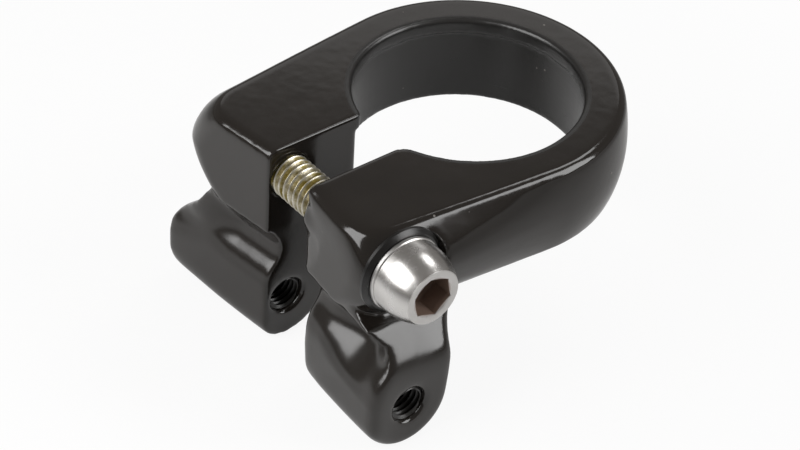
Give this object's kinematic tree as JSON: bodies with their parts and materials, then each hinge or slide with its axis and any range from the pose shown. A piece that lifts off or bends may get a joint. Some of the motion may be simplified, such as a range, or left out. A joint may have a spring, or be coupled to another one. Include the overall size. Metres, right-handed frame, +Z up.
{
  "type": "seatpost clamp",
  "caption": "Gloss black split seat clamp ring with thick ears, a silver socket-head bolt across the slit, and a tapped rack lug hanging below each ear.",
  "frame": {"origin": "on the bore axis, in the plane of the ring's bottom face", "axes": "+Z up along the seat tube, -Y towards the slit and ears, +X towards the bolt head"},
  "size_m": [0.049, 0.0534, 0.0326],
  "materials": {
    "collar_black": "gloss black anodised over a forged surface",
    "bolt_steel": "bright, with a dull yellowish thread",
    "washer_steel": "satin",
    "washer_black": "gloss black"
  },
  "bodies": {
    "collar": {"clamp_collar": "collar_black", "seat_washer": "washer_black"},
    "washer": {"bolt_washer": "washer_steel"},
    "bolt": {"clamp_bolt": "bolt_steel"}
  },
  "joints": [
    {"name": "washer_travel", "type": "slide", "parent": "collar", "child": "washer", "axis": [1, 0, 0], "range_m": [0, 0.012]},
    {"name": "bolt_turn", "type": "hinge", "parent": "washer", "child": "bolt", "pos_m": [0.0206, -0.02605, 0.0082], "axis": [1, 0, 0], "range_deg": [0, 4325]}
  ],
  "couplings": [
    {"joint": "bolt_turn", "follows": "washer_travel", "rad_per_m": 6283.2}
  ]
}
